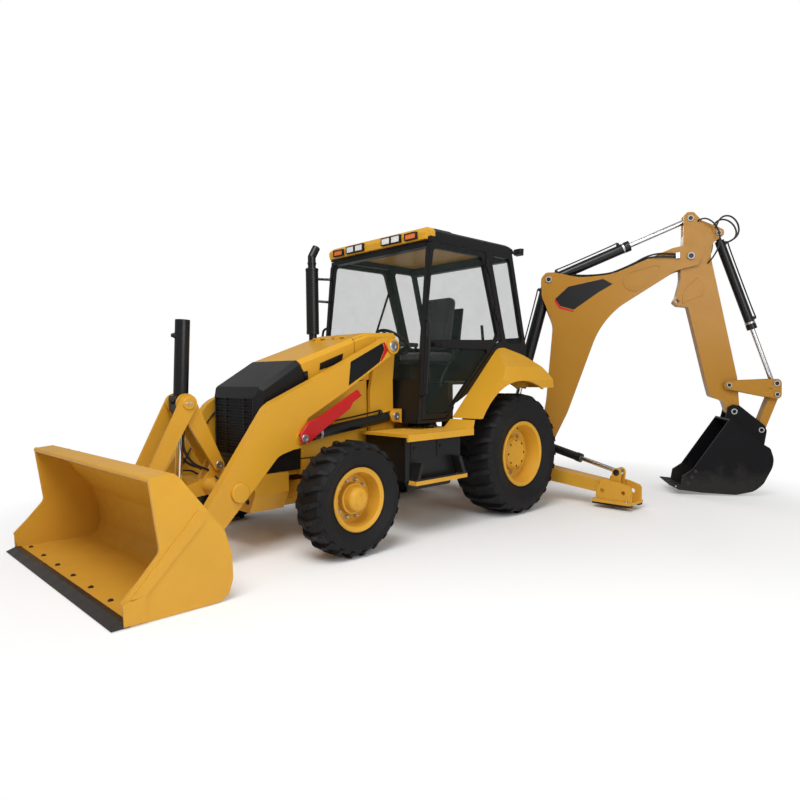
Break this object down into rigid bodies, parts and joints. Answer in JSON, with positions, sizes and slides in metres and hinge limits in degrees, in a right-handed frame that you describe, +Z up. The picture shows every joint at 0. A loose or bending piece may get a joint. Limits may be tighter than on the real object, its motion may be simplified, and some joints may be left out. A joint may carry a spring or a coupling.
{
  "type": "backhoe loader",
  "caption": "Four-wheel tractor with a cab, a front loader bucket on lift arms and a rear backhoe arm on a swing post, with stabilizer legs.",
  "frame": {"origin": "on the ground under the middle of the rear axle", "axes": "+X forward to the loader bucket, +Y to the machine's left, +Z up"},
  "size_m": [7.302, 4.4905, 3.3379],
  "materials": {
    "yellow_paint": "satin yellow paint",
    "black_paint": "satin black paint",
    "dark_trim": "matte",
    "chrome_rod": "ground and plated",
    "tyre_rubber": "matte rubber",
    "clear_glass": "clear",
    "lamp_glass": "clear lens",
    "seat_fabric": "woven"
  },
  "bodies": {
    "machine": {"main_frame": "yellow_paint", "engine_block": "black_paint", "engine_cowl": "yellow_paint", "nose_grille": "black_paint", "cab_frame": "black_paint", "cab_roof": "yellow_paint", "cab_glass": "clear_glass", "operator_seat": "seat_fabric", "controls": "dark_trim", "rear_fenders": "yellow_paint", "side_steps": "yellow_paint", "side_boxes": "black_paint", "exhaust_stack": "black_paint", "lamps": "lamp_glass", "front_axle": "yellow_paint", "rear_axle": "yellow_paint", "backhoe_frame": "yellow_paint"},
    "left_knuckle": {"knuckle_left": "yellow_paint"},
    "right_knuckle": {"knuckle_right": "yellow_paint"},
    "left_front_wheel": {"tyre_front_left": "tyre_rubber", "wheel_front_left": "yellow_paint"},
    "right_front_wheel": {"tyre_front_right": "tyre_rubber", "wheel_front_right": "yellow_paint"},
    "left_rear_wheel": {"tyre_rear_left": "tyre_rubber", "wheel_rear_left": "yellow_paint"},
    "right_rear_wheel": {"tyre_rear_right": "tyre_rubber", "wheel_rear_right": "yellow_paint"},
    "hood": {"hood": "yellow_paint"},
    "left_door": {"door_left": "black_paint", "door_left_glass": "clear_glass"},
    "right_door": {"door_right": "black_paint", "door_right_glass": "clear_glass"},
    "loader_arms": {"loader_arms": "yellow_paint"},
    "lift_barrels": {"lift_barrels": "black_paint"},
    "lift_rods": {"lift_rods": "chrome_rod"},
    "tilt_levers": {"tilt_levers": "yellow_paint"},
    "tilt_barrel": {"tilt_barrel": "black_paint"},
    "tilt_rod": {"tilt_rod": "chrome_rod"},
    "tilt_links": {"tilt_links": "yellow_paint"},
    "loader_bucket": {"loader_bucket": "yellow_paint", "bucket_edge": "black_paint"},
    "swing_post": {"swing_post": "yellow_paint"},
    "boom": {"boom": "yellow_paint"},
    "boom_barrel": {"boom_barrel": "black_paint"},
    "boom_rod": {"boom_rod": "chrome_rod"},
    "stick": {"stick": "yellow_paint"},
    "stick_barrel": {"stick_barrel": "black_paint"},
    "stick_rod": {"stick_rod": "chrome_rod"},
    "curl_barrel": {"curl_barrel": "black_paint"},
    "curl_rod": {"curl_rod": "chrome_rod"},
    "rocker": {"rocker": "yellow_paint"},
    "hoe_link": {"hoe_link": "yellow_paint"},
    "hoe_bucket": {"hoe_bucket": "black_paint"},
    "left_leg": {"leg_left": "yellow_paint"},
    "right_leg": {"leg_right": "yellow_paint"},
    "left_leg_barrel": {"leg_barrel_left": "black_paint"},
    "right_leg_barrel": {"leg_barrel_right": "black_paint"},
    "left_leg_rod": {"leg_rod_left": "chrome_rod"},
    "right_leg_rod": {"leg_rod_right": "chrome_rod"}
  },
  "joints": [
    {"name": "left_rear_wheel_spin", "type": "hinge", "parent": "machine", "child": "left_rear_wheel", "pos_m": [0, 0.857, 0.62], "axis": [0, 1, 0], "continuous": true},
    {"name": "right_rear_wheel_spin", "type": "hinge", "parent": "machine", "child": "right_rear_wheel", "pos_m": [0, -0.857, 0.62], "axis": [0, 1, 0], "continuous": true},
    {"name": "steering", "type": "hinge", "parent": "machine", "child": "left_knuckle", "pos_m": [2.2, 0.745, 0.462], "axis": [0, 0, 1], "range_deg": [-35, 35]},
    {"name": "right_steering", "type": "hinge", "parent": "machine", "child": "right_knuckle", "pos_m": [2.2, -0.745, 0.462], "axis": [0, 0, 1], "range_deg": [-35.5, 35.5]},
    {"name": "left_front_wheel_spin", "type": "hinge", "parent": "left_knuckle", "child": "left_front_wheel", "pos_m": [2.2, 0.9475, 0.462], "axis": [0, 1, 0], "continuous": true},
    {"name": "right_front_wheel_spin", "type": "hinge", "parent": "right_knuckle", "child": "right_front_wheel", "pos_m": [2.2, -0.9475, 0.462], "axis": [0, 1, 0], "continuous": true},
    {"name": "hood_lid", "type": "hinge", "parent": "machine", "child": "hood", "pos_m": [1.661, 0, 1.801], "axis": [0, -1, 0], "range_deg": [0, 48]},
    {"name": "left_door", "type": "hinge", "parent": "machine", "child": "left_door", "pos_m": [-0.037, 0.752, 1.894], "axis": [0.2845, 0, 0.9587], "range_deg": [0, 80]},
    {"name": "right_door", "type": "hinge", "parent": "machine", "child": "right_door", "pos_m": [-0.037, -0.752, 1.894], "axis": [-0.2845, 0, -0.9587], "range_deg": [0, 80]},
    {"name": "loader_lift", "type": "hinge", "parent": "machine", "child": "loader_arms", "pos_m": [1.33, 0, 1.71], "axis": [0, -1, 0], "range_deg": [-2, 80]},
    {"name": "lift_barrel_swing", "type": "hinge", "parent": "machine", "child": "lift_barrels", "pos_m": [1.31, 0, 1.055], "axis": [0, -1, 0], "range_deg": [-2.17, 67.08]},
    {"name": "lift_rod_slide", "type": "slide", "parent": "lift_barrels", "child": "lift_rods", "axis": [0.9928, 0, -0.1197], "range_m": [-0.02197, 0.80088]},
    {"name": "loader_tilt", "type": "hinge", "parent": "loader_arms", "child": "loader_bucket", "pos_m": [3.275, 0, 0.235], "axis": [0, 1, 0], "range_deg": [-38, 120]},
    {"name": "tilt_lever_swing", "type": "hinge", "parent": "loader_arms", "child": "tilt_levers", "pos_m": [2.888, 0, 0.72], "axis": [0, 1, 0], "range_deg": [-28.53, 89]},
    {"name": "tilt_link_swing", "type": "hinge", "parent": "loader_bucket", "child": "tilt_links", "pos_m": [3.48, 0, 0.63], "axis": [0, 1, 0], "range_deg": [-105.61, 33.78]},
    {"name": "tilt_barrel_swing", "type": "hinge", "parent": "tilt_levers", "child": "tilt_barrel", "pos_m": [3.154, 0, 1.234], "axis": [0, 1, 0], "range_deg": [-34.1, 11.14]},
    {"name": "tilt_rod_slide", "type": "slide", "parent": "tilt_barrel", "child": "tilt_rod", "axis": [0.0497, 0, -0.9988], "range_m": [-0.56749, 0.18107]},
    {"name": "swing", "type": "hinge", "parent": "machine", "child": "swing_post", "pos_m": [-1.24, 0, 0.6], "axis": [0, 0, -1], "range_deg": [-146, 34]},
    {"name": "boom_lower", "type": "hinge", "parent": "swing_post", "child": "boom", "pos_m": [-1.49164, 0.37307, 0.6], "axis": [-0.829, -0.5592, 0], "range_deg": [-20, 96]},
    {"name": "boom_barrel_swing", "type": "hinge", "parent": "boom", "child": "boom_barrel", "pos_m": [-1.51009, 0.40042, 2.602], "axis": [0.829, 0.5592, 0], "range_deg": [-0.97, 2.76]},
    {"name": "boom_rod_slide", "type": "slide", "parent": "boom_barrel", "child": "boom_rod", "axis": [0.1436, -0.2129, -0.9665], "range_m": [-0.16619, 0.79009]},
    {"name": "stick_out", "type": "hinge", "parent": "boom", "child": "stick", "pos_m": [-2.42605, 1.75839, 2.813], "axis": [0.829, 0.5592, 0], "range_deg": [-22, 78]},
    {"name": "stick_barrel_swing", "type": "hinge", "parent": "boom", "child": "stick_barrel", "pos_m": [-1.51009, 0.40042, 2.602], "axis": [0.829, 0.5592, 0], "range_deg": [-2.7, 1.12]},
    {"name": "stick_rod_slide", "type": "slide", "parent": "stick_barrel", "child": "stick_rod", "axis": [-0.5186, 0.7688, 0.3741], "range_m": [-0.53547, 0.15247]},
    {"name": "hoe_bucket_dump", "type": "hinge", "parent": "stick", "child": "hoe_bucket", "pos_m": [-2.70117, 2.16628, 0.971], "axis": [0.829, 0.5592, 0], "range_deg": [-75, 100]},
    {"name": "rocker_swing", "type": "hinge", "parent": "stick", "child": "rocker", "pos_m": [-2.66315, 2.1099, 1.283], "axis": [0.829, 0.5592, 0], "range_deg": [-52.98, 70.47]},
    {"name": "hoe_link_swing", "type": "hinge", "parent": "rocker", "child": "hoe_link", "pos_m": [-2.95001, 2.5352, 1.172], "axis": [0.829, 0.5592, 0], "range_deg": [-45.22, 34.04]},
    {"name": "curl_barrel_swing", "type": "hinge", "parent": "stick", "child": "curl_barrel", "pos_m": [-2.60052, 2.01705, 3.072], "axis": [0.829, 0.5592, 0], "range_deg": [-2.53, 3.2]},
    {"name": "curl_rod_slide", "type": "slide", "parent": "curl_barrel", "child": "curl_rod", "axis": [-0.1852, 0.2746, -0.9436], "range_m": [-0.53235, 0.39976]},
    {"name": "left_leg_stow", "type": "hinge", "parent": "machine", "child": "left_leg", "pos_m": [-0.935, 0.36, 0.345], "axis": [1, 0, 0], "range_deg": [-4, 70]},
    {"name": "left_leg_barrel_swing", "type": "hinge", "parent": "machine", "child": "left_leg_barrel", "pos_m": [-0.935, 0.4, 0.69], "axis": [1, 0, 0], "range_deg": [-4.98, 78.98]},
    {"name": "left_leg_rod_slide", "type": "slide", "parent": "left_leg_barrel", "child": "left_leg_rod", "axis": [0, 0.9711, -0.2388], "range_m": [-0.35883, 0.02239]},
    {"name": "right_leg_stow", "type": "hinge", "parent": "machine", "child": "right_leg", "pos_m": [-0.935, -0.36, 0.345], "axis": [-1, 0, 0], "range_deg": [-4, 70]},
    {"name": "right_leg_barrel_swing", "type": "hinge", "parent": "machine", "child": "right_leg_barrel", "pos_m": [-0.935, -0.4, 0.69], "axis": [-1, 0, 0], "range_deg": [-4.98, 78.98]},
    {"name": "right_leg_rod_slide", "type": "slide", "parent": "right_leg_barrel", "child": "right_leg_rod", "axis": [0, -0.9711, -0.2388], "range_m": [-0.35883, 0.02239]}
  ],
  "couplings": [
    {"joint": "right_steering", "follows": "steering", "ratio": 1},
    {"joint": "lift_barrel_swing", "follows": "loader_lift", "ratio": 0.8323},
    {"joint": "lift_rod_slide", "follows": "loader_lift", "m_per_rad": 0.57215},
    {"joint": "tilt_lever_swing", "follows": "loader_tilt", "ratio": 0.73752},
    {"joint": "tilt_link_swing", "follows": "loader_tilt", "ratio": -0.87593},
    {"joint": "tilt_barrel_swing", "follows": "loader_tilt", "ratio": -0.28},
    {"joint": "tilt_rod_slide", "follows": "loader_tilt", "m_per_rad": -0.27},
    {"joint": "boom_barrel_swing", "follows": "boom_lower", "ratio": 0.023539},
    {"joint": "boom_rod_slide", "follows": "boom_lower", "m_per_rad": 0.47036},
    {"joint": "stick_barrel_swing", "follows": "stick_out", "ratio": -0.028196},
    {"joint": "stick_rod_slide", "follows": "stick_out", "m_per_rad": -0.39187},
    {"joint": "rocker_swing", "follows": "hoe_bucket_dump", "ratio": 0.69974},
    {"joint": "hoe_link_swing", "follows": "hoe_bucket_dump", "ratio": -0.44722},
    {"joint": "curl_barrel_swing", "follows": "hoe_bucket_dump", "ratio": 0.027027},
    {"joint": "curl_rod_slide", "follows": "hoe_bucket_dump", "m_per_rad": -0.30387},
    {"joint": "left_leg_barrel_swing", "follows": "left_leg_stow", "ratio": 1.1211},
    {"joint": "left_leg_rod_slide", "follows": "left_leg_stow", "m_per_rad": -0.29207},
    {"joint": "right_leg_barrel_swing", "follows": "right_leg_stow", "ratio": 1.1211},
    {"joint": "right_leg_rod_slide", "follows": "right_leg_stow", "m_per_rad": -0.29207}
  ]
}
